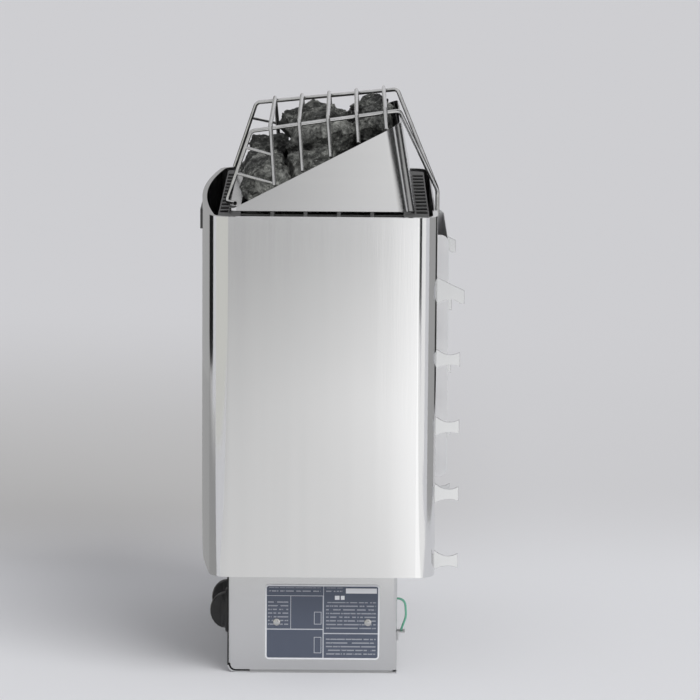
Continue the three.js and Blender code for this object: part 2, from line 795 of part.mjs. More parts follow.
function switchBox() {
  const wrap = (inset) => [point(sideFront, -boxHalf + inset),
    ...arc(boxRear - boxCorner, -boxHalf + boxCorner, boxCorner - inset, -quarter, 0, 3),
    ...arc(boxRear - boxCorner, boxHalf - boxCorner, boxCorner - inset, 0, quarter, 3),
    point(sideFront, boxHalf - inset)];
  const low = panelPlate + panelSeam;
  const wall = solid(extrudeUp([...wrap(0), ...wrap(boxSheet).reverse()], low, boxTop));
  const flanges = [-1, 1].map((side) => {
    const ys = [side * (boxHalf - boxFlange), side * (boxHalf - boxSheet / 2)];
    return solid(block(sideFront, boxRear - boxCorner, Math.min(...ys), Math.max(...ys),
      boxTop - boxSheet, boxTop));
  });
  const radius = panelCorner - low;
  const sideView = [...arc(sideFront + radius, low + radius, radius, 2 * quarter, 3 * quarter, 4),
    point(boxRear + cutPast, low), point(boxRear + cutPast, boxTop), point(sideFront, boxTop)];
  const earthHole = solid(axle(earthY, earthTopLevel, 2 * earthRadius, boxRear - 2 * boxSheet,
    boxRear + cutPast, 8));
  const body = joined([wall, ...flanges]);
  const rounded = body.intersect(solid(extrudeAcross(sideView, -boxHalf - cutPast, boxHalf + cutPast)));
  return geometryOf(rounded.subtract(earthHole));
}

addPart('switch_box', switchBox(), polishedSteel);

// Front panel: a plate that rolls under at its foot, with flanges inside the box sides
function frontPanel() {
  const run = (inset) => [point(boxFront + inset, boxTop),
    ...arc(boxFront + panelCorner, panelCorner, panelCorner - inset, 2 * quarter, 3 * quarter, 5),
    point(boxFront + panelCorner + panelLipLength, inset)];
  const plate = solid(extrudeAcross([...run(0), ...run(panelPlate).reverse()], -boxHalf, boxHalf));
  const flangeY = boxHalf - boxSheet - panelFlangeInset;
  const flanges = [-1, 1].map((side) => {
    const ys = [side * flangeY, side * (flangeY - panelPlate)];
    return solid(block(boxFront + panelPlate / 2, boxFront + boxFlange, Math.min(...ys),
      Math.max(...ys), panelCorner, boxTop - 2 * boxSheet));
  });
  const holes = knobYs.map((y) =>
    solid(axle(y, knobLevel, panelHoleRadius, boxFront - cutPast, panelBack + cutPast)));
  return geometryOf(cut(joined([plate, ...flanges]), holes));
}

addPart('front_panel', frontPanel(), polishedSteel);

// Bottom cover with folded edges inside the box and a hole over the reset button
const limiterX = (boxFront + boxRear) / 2 - limiterSize;
const limiterY = boxHalf / 2;

function bottomCover() {
  const front = boxFront + panelCorner + panelLipLength + fitGap;
  const plate = solid(extrudeUp(rectangle(front, boxRear, -boxHalf, boxHalf), 0, panelPlate,
    [arc(limiterX, limiterY, buttonRadius + buttonPlay, 0, 4 * quarter, 12).slice(1)]));
  const edgeY = boxHalf - boxSheet - fitGap;
  const edges = [-1, 1].map((side) => {
    const ys = [side * edgeY, side * (edgeY - panelPlate)];
    return solid(block(front, boxRear - boxCorner - fitGap, Math.min(...ys), Math.max(...ys),
      0, panelPlate + coverFlange));
  });
  return geometryOf(joined([plate, ...edges]));
}

addPart('bottom_cover', bottomCover(), sheetSteel);

// Rating plate, left blank, and its two screws on the side of the box
const plateX = boxFront + plateSetback;
const plateY = -boxHalf - fitGap;
const plateMiddle = plateX + plateWidth / 2;
addPart('rating_plate', extrudeAcross(roundedRectangle(plateX, plateX + plateWidth, plateLevel,
  plateLevel + plateHeight, plateCorner), plateY - plateSheet, plateY), slatePlate);

function screwAt(x) {
  const dome = [point(0, screwHead), point(screwRadius * 0.55, screwHead * 0.85),
    point(screwRadius * 0.9, screwHead * 0.45), point(screwRadius, 0), point(0, 0)];
  return new THREE.LatheGeometry(dome.reverse(), 14).rotateX(2 * quarter)
    .translate(x, plateY - plateSheet - fitGap, plateLevel + plateHeight / 2);
}

addPart('plate_screw_front', screwAt(plateMiddle - screwSpacing / 2), polishedSteel);
addPart('plate_screw_rear', screwAt(plateMiddle + screwSpacing / 2), polishedSteel);

// Timer and thermostat: a body behind the panel, a shaft through it and a grip knob
const controlFront = panelBack + fitGap;

function controlBody(y) {
  const half = controlSize / 2;
  const body = solid(extrudeBack(roundedRectangle(y - half, y + half, knobLevel - half,
    knobLevel + half, half / 4), controlFront, controlFront + controlDepth));
  const bore = solid(axle(y, knobLevel, shaftRadius + shaftPlay, controlFront - cutPast,
    controlFront + shaftSeat + fitGap));
  return geometryOf(body.subtract(bore));
}

const knobBack = boxFront - fitGap;
const shaftFront = knobBack - knobBore;
const controlShaft = (y) => axle(y, knobLevel, shaftRadius, shaftFront, controlFront + shaftSeat, 12);

function controlKnob(y) {
  const dome = arc(0, skirtHeight, 1, 0, quarter, 6).map((p) =>
    point(p.x * knobRadius, skirtHeight + (p.y - skirtHeight) * (knobHeight - skirtHeight)));
  dome[dome.length - 1].x = 0;
  const profile = [point(0, 0), point(skirtRadius, 0), point(skirtRadius, skirtHeight * 0.6),
    point(skirtRadius - 1, skirtHeight), ...dome];
  const turned = solid(new THREE.LatheGeometry(profile, 20).rotateZ(quarter));
  const scoops = [-1, 1].map((side) => {
    const ys = [(side * gripWidth) / 2, side * skirtRadius];
    return solid(block(-2 * knobHeight, -gripRise, Math.min(...ys), Math.max(...ys),
      -skirtRadius, skirtRadius));
  });
  const bore = solid(axle(0, 0, shaftRadius + shaftPlay, shaftFront - knobBack - fitGap, cutPast));
  return geometryOf(cut(turned, [...scoops, bore])).translate(knobBack, y, knobLevel);
}

['timer', 'thermostat'].forEach((name, index) => {
  addPart(`${name}_body`, controlBody(knobYs[index]), palePlastic);
  addPart(`${name}_shaft`, controlShaft(knobYs[index]), sheetSteel);
  addPart(`${name}_knob`, controlKnob(knobYs[index]), blackPlastic);
});

// Thermostat sensor: a capillary up through the chassis to a bulb in the air space
function thermostatSensor() {
  const y = knobYs[1];
  const level = floorZ + sensorHeight;
  const tube = solid(rod([place(thermostatX, y, knobLevel + controlSize / 2 + fitGap),
    place(thermostatX, y, level), place(thermostatX, y - bulbLength / 2, level)],
  capillaryRadius, capillaryBend, 6));
  const bulbFrom = y - bulbLength / 4;
  const bulb = solid(extrudeAcross(arc(thermostatX, level, bulbRadius, 0, 4 * quarter, 10).slice(1),
    bulbFrom - bulbLength, bulbFrom));
  return geometryOf(tube.add(bulb));
}

addPart('thermostat_sensor', thermostatSensor(), copper);

// Overheat limiter and its sunk reset button in the bottom cover
function overheatLimiter() {
  const half = limiterSize / 2;
  const foot = panelPlate + fitGap;
  const body = solid(extrudeUp(roundedRectangle(limiterX - half, limiterX + half, limiterY - half,
    limiterY + half, half / 4), foot, foot + limiterHeight));
  const bore = solid(pillar(limiterX, limiterY, buttonRadius + buttonPlay, foot - cutPast,
    buttonRecess + buttonLength + 2 * buttonTravel));
  return geometryOf(body.subtract(bore));
}

addPart('overheat_limiter', overheatLimiter(), palePlastic);
addPart('reset_button', pillar(limiterX, limiterY, buttonRadius, buttonRecess,
  buttonRecess + buttonLength), blackPlastic);

// Terminal block with barriers between its ways
const terminalX = boxRear - boxSheet - 2 * terminalDepth / 3;
const terminalFoot = panelPlate + fitGap;
const terminalTop = terminalFoot + terminalHeight;
const terminalSeat = terminalTop - terminalHeight / 4;

function terminalBlock() {
  const pitch = terminalWidth / terminalWays;
  const barriers = Array.from({ length: terminalWays }, (_, i) => {
    const y = -terminalWidth / 2 + i * pitch;
    return [point(y, terminalTop), point(y + pitch / 5, terminalTop),
      point(y + pitch / 5, terminalSeat), point(y + pitch, terminalSeat)];
  }).flat();
  const end = terminalWidth / 2;
  return extrudeBack([...barriers, point(end, terminalTop), point(end + pitch / 5, terminalTop),
    point(end + pitch / 5, terminalFoot), point(-end, terminalFoot)].reverse(),
  terminalX - terminalDepth / 2, terminalX + terminalDepth / 2);
}

addPart('terminal_block', terminalBlock(), palePlastic);

// Leads from the terminal block up to one end of each element
function elementLead(index) {
  const wayPitch = terminalWidth / terminalWays;
  const y = (index - 1) * Math.round(leadPitch / wayPitch) * wayPitch + wayPitch * 0.6;
  const x = elementXs[index];
  return rod([place(terminalX, y, terminalSeat + fitGap), place(terminalX, y, terminalTop + leadPitch),
    place(x, elementOuterY - leadPitch, terminalZ - leadPitch),
    place(x, elementOuterY, terminalZ - leadPitch), place(x, elementOuterY, terminalZ - fitGap)],
  leadRadius, leadBend, 6);
}

elementXs.forEach((_, index) => addPart(`element_lead_${index + 1}`, elementLead(index), greySheath));

// Cable gland at the back of the box
const glandY = boxHalf - glandInset;

function cableGland() {
  const foot = boxRear + fitGap;
  const nut = solid(axle(glandY, glandLevel, glandNut, foot, foot + glandLength / 2, 6));
  const sleeve = solid(axle(glandY, glandLevel, glandRadius, foot, foot + glandLength));
  const bore = solid(axle(glandY, glandLevel, glandBore, foot - cutPast,
    foot + glandLength + cutPast));
  return geometryOf(nut.add(sleeve).subtract(bore));
}

addPart('cable_gland', cableGland(), blackPlastic);

// Earth lug on the back of the box, and the green wire that loops down to it
const lugBack = boxRear + fitGap;
addPart('earth_lug', extrudeAcross([point(lugBack, lugLevel - lugLength),
  point(lugBack + lugSheet, lugLevel - lugLength), point(lugBack + lugSheet, lugLevel),
  point(lugBack + lugLength, lugLevel), point(lugBack + lugLength, lugLevel + lugSheet),
  point(lugBack, lugLevel + lugSheet)],
earthY - lugWidth / 2, earthY + lugWidth / 2), sheetSteel);

addPart('earth_wire', rod([place(boxRear - earthTail, earthY, earthTopLevel),
  place(boxRear + earthBulge - earthRadius, earthY, earthTopLevel),
  place(boxRear + earthBulge, earthY, earthTopLevel - earthSag),
  place(lugBack + lugLength / 2, earthY, lugLevel + lugSheet + fitGap)],
earthRadius, earthBend, 8, 6), greenSheath);

// Stones: rough lumps, each point pushed out from the middle by its own amount
const stoneReach = (way, radii, seed) => {
  const wave = Math.sin(3.1 * way.x + seed * 1.7) + Math.sin(2.7 * way.y + seed * 2.3)
    + Math.sin(3.7 * way.z + seed * 0.9);
  return (1 + stoneRoughness * wave) / way.clone().divide(radii).length();
};

function stoneGeometry(detail, tipOf) {
  const geometry = new THREE.IcosahedronGeometry(1, detail);
  const positions = geometry.attributes.position;
  const way = new THREE.Vector3();
  for (let i = 0; i < positions.count; i += 1) {
    way.fromBufferAttribute(positions, i).normalize();
    const tip = tipOf(way);
    positions.setXYZ(i, tip.x, tip.y, tip.z);
  }
  return geometry;
}

// The lower stones stand in upright rows between the elements, joined row by row
const rowWalls = [containerFront + containerSheet, ...elementXs, containerRear - containerSheet];

function stoneRow(index) {
  const outermost = (wall) => wall === 0 || wall === rowWalls.length - 1;
  const wallGap = (wall) => (outermost(wall) ? rowPlay : elementRadius + rowPlay);
  const half = containerHalf - containerRearCorner;
  const room = new THREE.Box3(
    place(rowWalls[index] + wallGap(index), -half, grateTop + stoneGap),
    place(rowWalls[index + 1] - wallGap(index + 1), half, bedTop));
  const size = room.getSize(new THREE.Vector3());
  const step = size.clone().divide(place(1, rowColumns, rowLayers));
  const radii = new THREE.Vector3().setScalar(rowOverlap * Math.max(step.y, step.z));
  const stones = [];
  for (let column = 0; column < rowColumns; column += 1) {
    for (let layer = 0; layer < rowLayers; layer += 1) {
      const seed = index * 31 + column * 7 + layer * 3;
      const centre = room.min.clone().add(step.clone().multiply(place(0.5, column + 0.5, layer + 0.5)));
      stones.push(solid(stoneGeometry(0, (way) => {
        const tip = centre.clone().addScaledVector(way, stoneReach(way, radii, seed));
        return room.clampPoint(tip, tip);
      })));
    }
  }
  return geometryOf(joined(stones));
}

rowWalls.slice(1).forEach((_, index) =>
  addPart(`stone_row_${index + 1}`, stoneRow(index), rock));

// The upper stones lie one by one under the guard: three rows and a crown, placed and sized
// by shares of the container's depth, the hood's rise and the stones' own spacing
const stoneLines = [
  { back: 0.17, up: 0.26, count: 4, spread: 0.74, deep: 0.21, tall: 0.4 },
  { back: 0.45, up: 0.32, count: 4, spread: 0.7, deep: 0.22, tall: 0.48 },
  { back: 0.76, up: 0.36, count: 4, spread: 0.68, deep: 0.23, tall: 0.5 },
  { back: 0.5, up: 0.84, count: 3, spread: 0.5, deep: 0.23, tall: 0.31 },
  { back: 0.8, up: 0.94, count: 3, spread: 0.5, deep: 0.21, tall: 0.31 },
];

function stonePlaces() {
  return stoneLines.flatMap(({ back, up, count, spread, deep, tall }, line) => {
    const x = containerFront + back * containerDepth;
    const z = bedTop + up * hoodRise;
    const reach = (hoodHalfAt(z) - stoneMargin) * spread;
    const pitch = (2 * reach) / (count - 1);
    return Array.from({ length: count }, (_, i) => {
      const shift = stoneScatter * Math.sin(5.3 * i + 2.1 * line);
      return {
        radii: place(deep * containerDepth, stoneWidth * pitch, tall * hoodRise),
        centre: place(x + shift, i * pitch - reach + shift, z + shift),
      };
    });
  });
}

// Each stone stays inside flat limits: the bed, the hood, the guard and half way to its neighbours
const limit = (nx, ny, nz, through) => {
  const normal = place(nx, ny, nz).normalize();
  return { normal, offset: normal.dot(through) };
};

function roomFor(centre, way, limits) {
  const distances = limits.map(({ normal, offset }) => {
    const towards = normal.dot(way);
    return towards > 0 ? (offset - normal.dot(centre)) / towards : Infinity;
  });
  return Math.min(...distances);
}

function upperStones() {
  const stones = stonePlaces();
  const sideFoot = containerHalf - (stoneMargin * Math.hypot(hoodRise, hoodSideLean)) / hoodRise;
  const walls = [
    limit(0, 0, -1, place(0, 0, bedTop + stoneGap)),
    limit(-1, 0, 0, place(containerFront + stoneFrontMargin, 0, 0)),
    limit(hoodRise, 0, hoodRearLean, place(containerRear - stoneMargin, 0, hoodBase)),
    limit(0, hoodRise, hoodSideLean, place(0, sideFoot, hoodBase)),
    limit(0, -hoodRise, hoodSideLean, place(0, -sideFoot, hoodBase)),
    limit(railFrontZ - railRearZ, 0, railRear - railFront,
      place(railFront, 0, railFrontZ - wireRadius - stoneGap)),
  ];
  stones.forEach(({ centre, radii }, index) => {
    const between = stones.filter((other) => other.centre !== centre).map((other) => {
      const apart = other.centre.clone().sub(centre);
      const edge = centre.clone().addScaledVector(apart, 0.5 - stoneGap / 2 / apart.length());
      return limit(apart.x, apart.y, apart.z, edge);
    });
    const limits = [...walls, ...between];
    addPart(`stone_${index + 1}`, stoneGeometry(1, (way) => {
      const reach = Math.min(stoneReach(way, radii, index), roomFor(centre, way, limits));
      return centre.clone().addScaledVector(way, reach);
    }), rock);
  });
}

upperStones();

export default heater;
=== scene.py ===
import bpy
import json
import math
from mathutils import Matrix, Vector


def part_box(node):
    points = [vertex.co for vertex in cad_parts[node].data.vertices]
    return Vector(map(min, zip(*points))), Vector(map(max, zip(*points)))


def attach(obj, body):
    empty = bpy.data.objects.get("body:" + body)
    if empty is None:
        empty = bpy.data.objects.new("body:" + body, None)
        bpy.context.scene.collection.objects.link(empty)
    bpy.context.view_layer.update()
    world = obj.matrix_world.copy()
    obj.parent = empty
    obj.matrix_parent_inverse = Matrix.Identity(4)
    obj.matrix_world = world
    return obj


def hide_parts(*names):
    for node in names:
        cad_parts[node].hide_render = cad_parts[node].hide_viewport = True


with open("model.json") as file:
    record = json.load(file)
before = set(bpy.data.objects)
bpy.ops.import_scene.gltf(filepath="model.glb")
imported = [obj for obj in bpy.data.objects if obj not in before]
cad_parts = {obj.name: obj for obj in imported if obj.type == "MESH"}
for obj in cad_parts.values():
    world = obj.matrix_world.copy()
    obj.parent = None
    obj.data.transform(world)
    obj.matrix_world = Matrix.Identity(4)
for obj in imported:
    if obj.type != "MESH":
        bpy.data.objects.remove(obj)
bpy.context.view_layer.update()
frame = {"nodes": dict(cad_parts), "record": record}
nodes = frame["nodes"]
bodies = frame["record"]["behaviour"]["bodies"]
bodyOf = {node: body for body, group in bodies.items() for node in group}
mm = 0.001
print("frame loaded:", len(nodes), "nodes")


class Value:                                       # an output socket that sums can be written with
    def __init__(self, tree, out):
        self.tree, self.out = tree, out

    def math(self, operation, *terms):
        made = self.tree.nodes.new("ShaderNodeMath")
        made.operation = operation
        for socket, term in zip(made.inputs, terms):
            if isinstance(term, Value):
                self.tree.links.new(term.out, socket)
            else:
                socket.default_value = term
        return Value(self.tree, made.outputs[0])

    def __add__(self, other): return self.math("ADD", self, other)
    def __sub__(self, other): return self.math("SUBTRACT", self, other)
    def __mul__(self, other): return self.math("MULTIPLY", self, other)
    def __truediv__(self, other): return self.math("DIVIDE", self, other)
    def __rsub__(self, other): return self.math("SUBTRACT", other, self)
    def __rtruediv__(self, other): return self.math("DIVIDE", other, self)
    def __gt__(self, other): return self.math("GREATER_THAN", self, other)
    def __lt__(self, other): return self.math("LESS_THAN", self, other)
    def __abs__(self): return self.math("ABSOLUTE", self)
    def over(self, other): return self.math("MAXIMUM", self, other)
    def under(self, other): return self.math("MINIMUM", self, other)
    def share(self): return self.over(0).under(1)
    __radd__, __rmul__ = __add__, __mul__


class Finish:                                      # one material and its nodes
    def __init__(self, name, fixed, tree=None):
        if tree is None:
            self.material = bpy.data.materials.new(name)
            self.material.use_nodes = True
            tree = self.material.node_tree
            self.surface = tree.nodes["Principled BSDF"]
            self.feed(self.surface, fixed)
        self.tree = tree

    def feed(self, node, sockets):
        for socket, value in sockets.items():
            if isinstance(value, Value):
                node.id_data.links.new(value.out, node.inputs[socket])
            else:
                node.inputs[socket].default_value = value

    def node(self, kind, settings=None, sockets=None, out=0):
        made = self.tree.nodes.new(kind)
        for name, value in (settings or {}).items():
            if name == "stops":
                ramp = made.color_ramp.elements
                while len(ramp) < len(value):
                    ramp.new(0.5)
                for stop, (place, colour) in zip(ramp, value):
                    stop.position, stop.color = place, (*colour, 1)
            else:
                setattr(made, name, value)
        self.feed(made, sockets or {})
        return Value(self.tree, made.outputs[out])

    def coords(self, stretch=(1, 1, 1)):
        here = self.node("ShaderNodeTexCoord", out="Object")
        return self.node("ShaderNodeMapping", {}, {"Vector": here, "Scale": stretch})

    def axes(self, space="Object"):
        here = self.node("ShaderNodeTexCoord", out=space)
        split = self.node("ShaderNodeSeparateXYZ", {}, {"Vector": here})
        return [Value(self.tree, out) for out in split.out.node.outputs]

    def noise(self, scale, detail, rough, stretch=(1, 1, 1)):
        where = self.coords(stretch)
        return self.node("ShaderNodeTexNoise", {},
                         {"Vector": where, "Scale": scale, "Detail": detail, "Roughness": rough})

    def cells(self, scale, feature="F1", stretch=(1, 1, 1)):
        where = self.coords(stretch)
        return self.node("ShaderNodeTexVoronoi", {"feature": feature}, {"Vector": where, "Scale": scale})

    def blend(self, factor, low, high):
        mix = self.node("ShaderNodeMix", {"data_type": "RGBA"}, {0: factor}, 2)
        for socket, value in ((6, low), (7, high)):        # the Mix node's two colour sockets
            self.feed(mix.out.node, {socket: value if isinstance(value, Value) else (*value, 1)})
        return mix

    def ramp(self, factor, stops):
        return self.node("ShaderNodeValToRGB", {"stops": stops}, {"Fac": factor})

    def bump(self, height, distance):
        return self.node("ShaderNodeBump", {}, {"Height": height, "Distance": distance, "Strength": 1.0})

    def wear(self, sockets):
        self.feed(self.surface, sockets)
        return self.material


# steel sheet, with a fine drawn grain and hand-worn patches of gloss
casingLook = {"grain": 900, "stretch": (1, 1, 0.02), "streak": 70, "patch": 5,
              "dark": (0.735, 0.735, 0.74), "pale": (0.805, 0.805, 0.805), "metal": 1.0,
              "rough": 0.095, "grainGloss": 0.05, "patchGloss": 0.02, "relief": 0.000006}
hoodLook = dict(casingLook, stretch=(0.02, 1, 1), rough=0.16)
sheetLook = dict(casingLook, dark=(0.5, 0.5, 0.5), pale=(0.62, 0.62, 0.62), patch=14,
                 rough=0.34, grainGloss=0.12, patchGloss=0.1)
boxLook = dict(casingLook, dark=(0.61, 0.61, 0.61), pale=(0.68, 0.68, 0.68), rough=0.2)
# the panel's side edges get a painted shadow, standing for the shade in the seam gap
panelLook = dict(boxLook, gapShadeEdge=0.1497, gapShadeFoot=0.008, gapShadeTint=(0.03, 0.03, 0.03))
hookLook = dict(casingLook, dark=(0.6, 0.605, 0.61), pale=(0.66, 0.665, 0.67), patch=30, rough=0.2)
channelLook = dict(sheetLook, dark=(0.68, 0.68, 0.69), pale=(0.85, 0.85, 0.86), patch=34,
                   rough=0.42, metal=0.55)
# near-black steel for the ring, much darker than the other sheet
ringLook = dict(sheetLook, dark=(0.008, 0.008, 0.008), pale=(0.13, 0.13, 0.127), patch=160,
                rough=0.6, metal=0.2)
wireLook = dict(casingLook, grain=400, stretch=(1, 1, 1), patch=64, dark=(0.3, 0.3, 0.295),
                pale=(0.88, 0.88, 0.87), rough=0.11, patchGloss=0.1)
tubeLook = dict(sheetLook, dark=(0.09, 0.085, 0.08), pale=(0.24, 0.22, 0.2), patch=60, rough=0.5)
copperLook = dict(sheetLook, dark=(0.42, 0.2, 0.1), pale=(0.62, 0.33, 0.2), patch=80, rough=0.36)


def steelFinish(name, look):
    steel = Finish(name, {"Metallic": look["metal"]})
    grain = steel.noise(look["grain"], 3, 0.6, look["stretch"])
    streak = steel.noise(look["streak"], 2, 0.5, look["stretch"])
    patch = steel.noise(look["patch"], 3, 0.5)
    tint = steel.blend(patch * 0.5 + streak * 0.5, look["dark"], look["pale"])
    if "gapShadeEdge" in look:                           # painted shade: a folded panel's side edges are darkened to stand for the shadow in the seam gap beside them
        across, level = steel.axes()[1:]
        inGapShade = (abs(across) > look["gapShadeEdge"]) * (level > look["gapShadeFoot"])
        tint = steel.blend(inGapShade, tint, look["gapShadeTint"])
    rough = look["rough"] + (grain - 0.5) * look["grainGloss"] + (patch + streak - 1) * look["patchGloss"]
    return steel.wear({"Base Color": tint, "Roughness": rough,
                       "Normal": steel.bump(grain, look["relief"])})


casingSteel = steelFinish("polishedCasingSteel", casingLook)
hoodSteel = steelFinish("polishedHoodSteel", hoodLook)
sheetSteel = steelFinish("plainSheetSteel", sheetLook)
boxSteel = steelFinish("satinBoxSteel", boxLook)
panelSteel = steelFinish("satinPanelSteel", panelLook)
hookSteel = steelFinish("hookSteel", hookLook)
channelSteel = steelFinish("paleChannelSteel", channelLook)
ringSteel = steelFinish("nearBlackRingSteel", ringLook)
wireSteel = steelFinish("guardWireSteel", wireLook)
tubeSteel = steelFinish("heatedTubeSteel", tubeLook)
copperSkin = steelFinish("dullCopper", copperLook)

# broken dark stone, with pale grains, dusty patches, and cracks that are bumped in and darkened with painted shade
stoneLook = {"deep": (0.014, 0.0145, 0.0135), "dark": (0.05, 0.052, 0.048), "grey": (0.19, 0.195, 0.18),
             "dust": (0.46, 0.465, 0.435), "fleck": (0.6, 0.6, 0.56), "bed": 11, "lump": 40, "grit": 150,
             "flake": 210, "crack": 60, "lumpShare": 0.45, "gritShare": 0.65, "bedShare": 0.8,
             "deepAt": 0.4, "darkAt": 0.5, "greyAt": 0.59, "dustAt": 0.72, "seamThin": 9, "seamShade": 0.6,
             "fleckSize": 0.2, "fleckGrit": 0.52, "fleckShade": 0.5, "rough": 0.9, "gritGloss": 0.35,
             "fleckGloss": 0.2, "gritRise": 0.7, "flakeRise": 0.5, "lumpRise": 0.8, "seamFall": 0.4,
             "relief": 0.005}


def stoneFinish(look):
    stone = Finish("brokenStone", {"Specular IOR Level": 0.5})
    bed = stone.noise(look["bed"], 2, 0.5)                 # some stones are paler than their neighbours
    lump = stone.noise(look["lump"], 6, 0.66)
    grit = stone.noise(look["grit"], 5, 0.8)
    crack = stone.cells(look["crack"], "DISTANCE_TO_EDGE", (1, 1.3, 0.8))
    flake = stone.cells(look["flake"])
    tone = lump * look["lumpShare"] + grit * look["gritShare"] + (bed - 0.5) * look["bedShare"]
    colour = stone.ramp(tone, [(look[name + "At"], look[name]) for name in ("deep", "dark", "grey", "dust")])
    crackShade = (1 - crack * look["seamThin"]).over(0) * (lump > 0.5)
    fleck = (flake < look["fleckSize"]) * (grit > look["fleckGrit"])
    # painted shade: the cracks are darkened as if shade fell in them
    colour = stone.blend(crackShade * look["seamShade"], colour, look["deep"])
    colour = stone.blend(fleck * look["fleckShade"], colour, look["fleck"])
    height = (grit * look["gritRise"] + flake * look["flakeRise"] + lump * look["lumpRise"]
              - crackShade * look["seamFall"])
    return stone.wear({"Base Color": colour,
                       "Roughness": look["rough"] - grit * look["gritGloss"] - fleck * look["fleckGloss"],
                       "Normal": stone.bump(height, look["relief"])})


brokenStone = stoneFinish(stoneLook)

# moulded plastic, finely grained
plasticLook = {"patch": 24, "grainGloss": 0.2, "patchGloss": 0.08}
knobLook = dict(plasticLook, grain=1400, gloss=0.5, dark=(0.009, 0.009, 0.01), pale=(0.018, 0.018, 0.019),
                rough=0.4, relief=0.00003)
mouldingLook = dict(plasticLook, grain=900, gloss=0.4, dark=(0.6, 0.57, 0.5), pale=(0.72, 0.69, 0.62),
                    rough=0.5, relief=0.00003)
greenLook = dict(plasticLook, grain=600, gloss=0.5, dark=(0.1, 0.36, 0.24), pale=(0.2, 0.5, 0.36),
                 rough=0.42, relief=0.00002)
greyLook = dict(plasticLook, grain=700, gloss=0.3, dark=(0.08, 0.085, 0.09), pale=(0.16, 0.165, 0.17),
                rough=0.7, relief=0.00005)


def plasticFinish(name, look):
    plastic = Finish(name, {"Specular IOR Level": look["gloss"]})
    grain = plastic.noise(look["grain"], 3, 0.6)
    patch = plastic.noise(look["patch"], 3, 0.5)
    rough = look["rough"] + (grain - 0.5) * look["grainGloss"] + (patch - 0.5) * look["patchGloss"]
    return plastic.wear({"Base Color": plastic.blend(patch, look["dark"], look["pale"]), "Roughness": rough,
                         "Normal": plastic.bump(grain, look["relief"])})


knobPlastic = plasticFinish("blackKnobPlastic", knobLook)
bodyPlastic = plasticFinish("paleMoulding", mouldingLook)
greenSheath = plasticFinish("greenWireSheath", greenLook)
greySheath = plasticFinish("greyWireSheath", greyLook)

# blank plate, in millimetres: slate field, pale rim, ruled boxes, empty white fields, rows of plain dashes;
# each field is left, right, foot, top
plateLook = {"field": (0.085, 0.1, 0.14), "worn": (0.105, 0.122, 0.165), "line": (0.6, 0.62, 0.66),
             "blank": (0.8, 0.81, 0.83), "border": 1.7, "corner": 4.0, "thin": 0.6,
             "wide": (-69.0, 55.0), "tall": (15.0, 98.0),
             "cells": ((-69.0, -6.0, 15.0, 48.5), (-69.0, -6.0, 48.5, 86.0), (-69.0, -41.0, 48.5, 86.0),
                       (-6.0, 55.0, 15.0, 44.0), (-6.0, 55.0, 44.0, 98.0), (-16.0, -8.0, 22.0, 40.0),
                       (-16.0, -8.0, 54.0, 68.0)),
             "blanks": ((18.4, 52.0, 88.6, 94.2), (6.5, 11.5, 81.5, 86.0), (13.0, 17.0, 81.5, 86.0)),
             "dashes": ((-66.0, -9.0, 88.0, 95.0), (-66.0, -44.0, 53.0, 80.0), (-3.0, 15.0, 88.0, 95.0),
                        (-3.0, 51.0, 47.0, 79.0), (-3.0, 51.0, 20.0, 41.0)),
             "row": 4.1, "rowFill": 0.34, "dash": 420, "dashGap": 0.42, "dashShade": 0.5, "lineShade": 0.9,
             "patch": 30, "grain": 900, "grainRise": 0.2, "rough": 0.36, "patchGloss": 0.2, "relief": 0.00002}


def plateFinish(look):
    plate = Finish("blankRatingPlate", {"Metallic": 0.25, "Specular IOR Level": 0.5})
    x, z = (axis * 1000 for axis in plate.axes()[::2])     # in millimetres

    def inside(x0, x1, z0, z1):
        return (x > x0) * (x < x1) * (z > z0) * (z < z1)

    def outlined(x0, x1, z0, z1):
        thin = look["thin"]
        return inside(x0, x1, z0, z1) - inside(x0 + thin, x1 - thin, z0 + thin, z1 - thin)

    def anyOf(masks):
        joined = masks[0]
        for mask in masks[1:]:
            joined = joined.over(mask)
        return joined

    def pastStraight(where, low, high):            # how far past the start of a rounded corner
        straight = (high - low) / 2 - look["corner"]
        return (abs(where - (low + high) / 2) - straight).over(0)

    wide, tall = pastStraight(x, *look["wide"]), pastStraight(z, *look["tall"])
    rim = wide * wide + tall * tall > (look["corner"] - look["border"]) ** 2
    lines = anyOf([outlined(*cell) for cell in look["cells"]])
    blanks = anyOf([inside(*field) for field in look["blanks"]])
    ruled = anyOf([inside(*block) for block in look["dashes"]])
    row = z.math("FRACT", z / look["row"]) < look["rowFill"]
    broken = plate.noise(look["dash"], 1, 0.4, (1, 0.001, 0.25)) > look["dashGap"]
    worn = plate.noise(look["patch"], 5, 0.6)
    colour = plate.blend(worn, look["field"], look["worn"])
    colour = plate.blend(ruled * row * broken * look["dashShade"], colour, look["line"])
    colour = plate.blend(lines * look["lineShade"], colour, look["line"])
    colour = plate.blend(blanks.over(rim), colour, look["blank"])
    grain = plate.noise(look["grain"], 2, 0.5)
    return plate.wear({"Base Color": colour, "Roughness": look["rough"] + worn * look["patchGloss"],
                       "Normal": plate.bump(grain * look["grainRise"] + lines, look["relief"])})


slatePlate = plateFinish(plateLook)
print("finishes made")


def pick(*pieces):                                 # select these alone, the first one active
    bpy.ops.object.select_all(action="DESELECT")
    for piece in pieces:
        piece.select_set(True)
    bpy.context.view_layer.objects.active = pieces[0]


def editAll():
    bpy.ops.object.mode_set(mode="EDIT")
    bpy.ops.mesh.select_all(action="SELECT")


def shaped(piece, kind, **settings):               # one modifier, applied
    step = piece.modifiers.new(kind.title(), kind)
    for name, value in settings.items():
        setattr(step, name, value)
    bpy.ops.object.modifier_apply(modifier=step.name)


def softEdge(piece, width):
    shaped(piece, "BEVEL", width=width, segments=2, angle_limit=math.radians(50))


